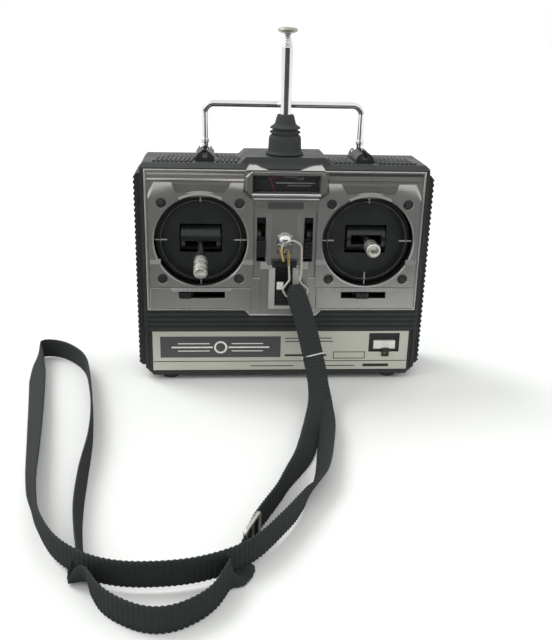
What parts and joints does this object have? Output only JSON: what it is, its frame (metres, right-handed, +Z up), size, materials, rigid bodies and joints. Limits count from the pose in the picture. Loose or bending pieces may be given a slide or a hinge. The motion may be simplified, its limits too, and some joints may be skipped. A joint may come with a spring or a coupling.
{
  "type": "radio transmitter controller",
  "caption": "Hand-held radio control transmitter: sprung stick units, trims, battery meter, telescopic aerial, folding handle and a webbing neck strap on a snap hook.",
  "frame": {"origin": "on the floor under the middle of the transmitter, half way between the stick tips and the back", "axes": "+X to the right facing the panel, -Y out of the panel towards the user, +Z up along the aerial"},
  "size_m": [0.2526, 0.2764, 0.2145],
  "materials": {
    "black_case": "fine moulded texture",
    "grip_plastic": "ribbed, slightly worn",
    "trim_black": "smooth",
    "brushed_panel": "brushed, lightly tarnished",
    "label_aluminium": "brushed satin",
    "badge_black": "semi-gloss",
    "chrome_plate": "polished",
    "tip_metal": "dulled",
    "clear_plastic": "clear",
    "dial_print": "printed scale",
    "needle_red": "matt",
    "soft_rubber": "dull",
    "black_screw": "blackened",
    "turned_aluminium": "turned, knurled",
    "spring_steel": "drawn wire",
    "nickel_wire": "nickel plated, worn",
    "webbing": "ribbed woven nylon",
    "white_plastic": "smooth",
    "dark_plastic": "smooth",
    "cell_wrap": "printed wrap",
    "circuit_board": "solder mask"
  },
  "bodies": {
    "root": {"front_case": "black_case", "rear_case": "black_case", "left_gimbal_housing": "black_case", "right_gimbal_housing": "black_case", "meter_body": "black_case", "power_switch_body": "black_case", "battery_holder": "black_case", "handle_sockets": "black_case", "antenna_socket": "black_case", "stick_pots": "black_case", "left_side_grip": "grip_plastic", "right_side_grip": "grip_plastic", "face_plate": "brushed_panel", "label_plate": "label_aluminium", "name_badge": "badge_black", "meter_bezel": "chrome_plate", "power_switch_frame": "chrome_plate", "strap_eyelet": "chrome_plate", "antenna_tube_1": "chrome_plate", "meter_window": "clear_plastic", "left_gimbal_ring": "clear_plastic", "right_gimbal_ring": "clear_plastic", "meter_dial": "dial_print", "rubber_feet": "soft_rubber", "antenna_boot": "soft_rubber", "case_screws": "black_screw", "gimbal_screws": "black_screw", "centring_springs": "spring_steel", "strap_keeper": "nickel_wire", "strap_buckle": "nickel_wire", "strap_hanging": "webbing", "strap_loop": "webbing", "strap_return": "webbing", "crystal_socket": "dark_plastic", "battery_cells": "cell_wrap", "main_board": "circuit_board"},
    "left_cradle": {"left_gimbal_cradle": "black_case"},
    "left_stick": {"left_stick": "turned_aluminium", "left_stick_head": "turned_aluminium"},
    "left_bail": {"left_gimbal_bail": "black_case"},
    "right_cradle": {"right_gimbal_cradle": "black_case"},
    "right_stick": {"right_stick": "turned_aluminium", "right_stick_head": "turned_aluminium"},
    "right_bail": {"right_gimbal_bail": "black_case"},
    "left_upright_trim": {"left_upright_trim": "trim_black"},
    "right_upright_trim": {"right_upright_trim": "trim_black"},
    "left_level_trim": {"left_level_trim": "trim_black"},
    "right_level_trim": {"right_level_trim": "trim_black"},
    "power_slider": {"power_switch_slider": "trim_black"},
    "needle": {"meter_needle": "needle_red"},
    "aerial_2": {"antenna_tube_2": "chrome_plate"},
    "aerial_3": {"antenna_tube_3": "chrome_plate"},
    "aerial_4": {"antenna_tube_4": "chrome_plate"},
    "aerial_5": {"antenna_tube_5": "chrome_plate"},
    "aerial_6": {"antenna_tube_6": "chrome_plate", "antenna_tip": "tip_metal"},
    "handle": {"carry_handle": "chrome_plate"},
    "crystal": {"crystal_holder": "white_plastic"},
    "battery_door": {"battery_door": "black_case"},
    "snap_hook": {"snap_hook": "nickel_wire"}
  },
  "joints": [
    {"name": "left_stick_up", "type": "hinge", "parent": "root", "child": "left_cradle", "pos_m": [-0.0511, 0, 0.0915], "axis": [-1, 0, 0], "range_deg": [0, 56]},
    {"name": "left_stick_across", "type": "hinge", "parent": "left_cradle", "child": "left_stick", "pos_m": [-0.0511, 0, 0.0915], "axis": [0, -0.4695, 0.8829], "range_deg": [-28, 28], "stiffness_Nm_per_rad": 0.06},
    {"name": "left_bail_turn", "type": "hinge", "parent": "root", "child": "left_bail", "pos_m": [-0.0511, 0, 0.0915], "axis": [0, 0, 1], "range_deg": [-28, 28]},
    {"name": "right_stick_up", "type": "hinge", "parent": "root", "child": "right_cradle", "pos_m": [0.0511, 0, 0.0915], "axis": [-1, 0, 0], "range_deg": [-28, 28], "stiffness_Nm_per_rad": 0.06},
    {"name": "right_stick_across", "type": "hinge", "parent": "right_cradle", "child": "right_stick", "pos_m": [0.0511, 0, 0.0915], "axis": [0, 0, 1], "range_deg": [-28, 28], "stiffness_Nm_per_rad": 0.06},
    {"name": "right_bail_turn", "type": "hinge", "parent": "root", "child": "right_bail", "pos_m": [0.0511, 0, 0.0915], "axis": [0, 0, 1], "range_deg": [-28, 28]},
    {"name": "left_upright_trim_slide", "type": "slide", "parent": "root", "child": "left_upright_trim", "axis": [0, 0, 1], "range_m": [-0.003, 0.0135]},
    {"name": "right_upright_trim_slide", "type": "slide", "parent": "root", "child": "right_upright_trim", "axis": [0, 0, 1], "range_m": [-0.002, 0.0145]},
    {"name": "left_level_trim_slide", "type": "slide", "parent": "root", "child": "left_level_trim", "axis": [1, 0, 0], "range_m": [0, 0.0205]},
    {"name": "right_level_trim_slide", "type": "slide", "parent": "root", "child": "right_level_trim", "axis": [1, 0, 0], "range_m": [-0.009, 0.0105]},
    {"name": "power_switch_slide", "type": "slide", "parent": "root", "child": "power_slider", "axis": [0, 0, 1], "range_m": [0, 0.008]},
    {"name": "meter_swing", "type": "hinge", "parent": "root", "child": "needle", "pos_m": [0, -0.0098, 0.1043], "axis": [0, 1, 0], "range_deg": [0, 41], "stiffness_Nm_per_rad": 0.00002},
    {"name": "aerial_section_2", "type": "slide", "parent": "root", "child": "aerial_2", "axis": [0, 0, 1], "range_m": [0, 0.118]},
    {"name": "aerial_section_3", "type": "slide", "parent": "aerial_2", "child": "aerial_3", "axis": [0, 0, 1], "range_m": [0, 0.118]},
    {"name": "aerial_section_4", "type": "slide", "parent": "aerial_3", "child": "aerial_4", "axis": [0, 0, 1], "range_m": [0, 0.118]},
    {"name": "aerial_section_5", "type": "slide", "parent": "aerial_4", "child": "aerial_5", "axis": [0, 0, 1], "range_m": [0, 0.118]},
    {"name": "aerial_section_6", "type": "slide", "parent": "aerial_5", "child": "aerial_6", "axis": [0, 0, 1], "range_m": [0, 0.118]},
    {"name": "handle_fold", "type": "hinge", "parent": "root", "child": "handle", "pos_m": [0, 0.021, 0.1415], "axis": [-1, 0, 0], "range_deg": [0, 90]},
    {"name": "crystal_pull", "type": "slide", "parent": "root", "child": "crystal", "axis": [0, -1, 0], "range_m": [0, 0.016]},
    {"name": "battery_door_slide", "type": "slide", "parent": "root", "child": "battery_door", "axis": [1, 0, 0], "range_m": [0, 0.02]},
    {"name": "hook_swing", "type": "hinge", "parent": "root", "child": "snap_hook", "pos_m": [0, -0.0164, 0.0918], "axis": [-1, 0, 0], "range_deg": [0, 30], "deforming": ["strap_hanging"]}
  ],
  "couplings": [
    {"joint": "left_bail_turn", "follows": "left_stick_across", "ratio": 1},
    {"joint": "right_bail_turn", "follows": "right_stick_across", "ratio": 1}
  ]
}
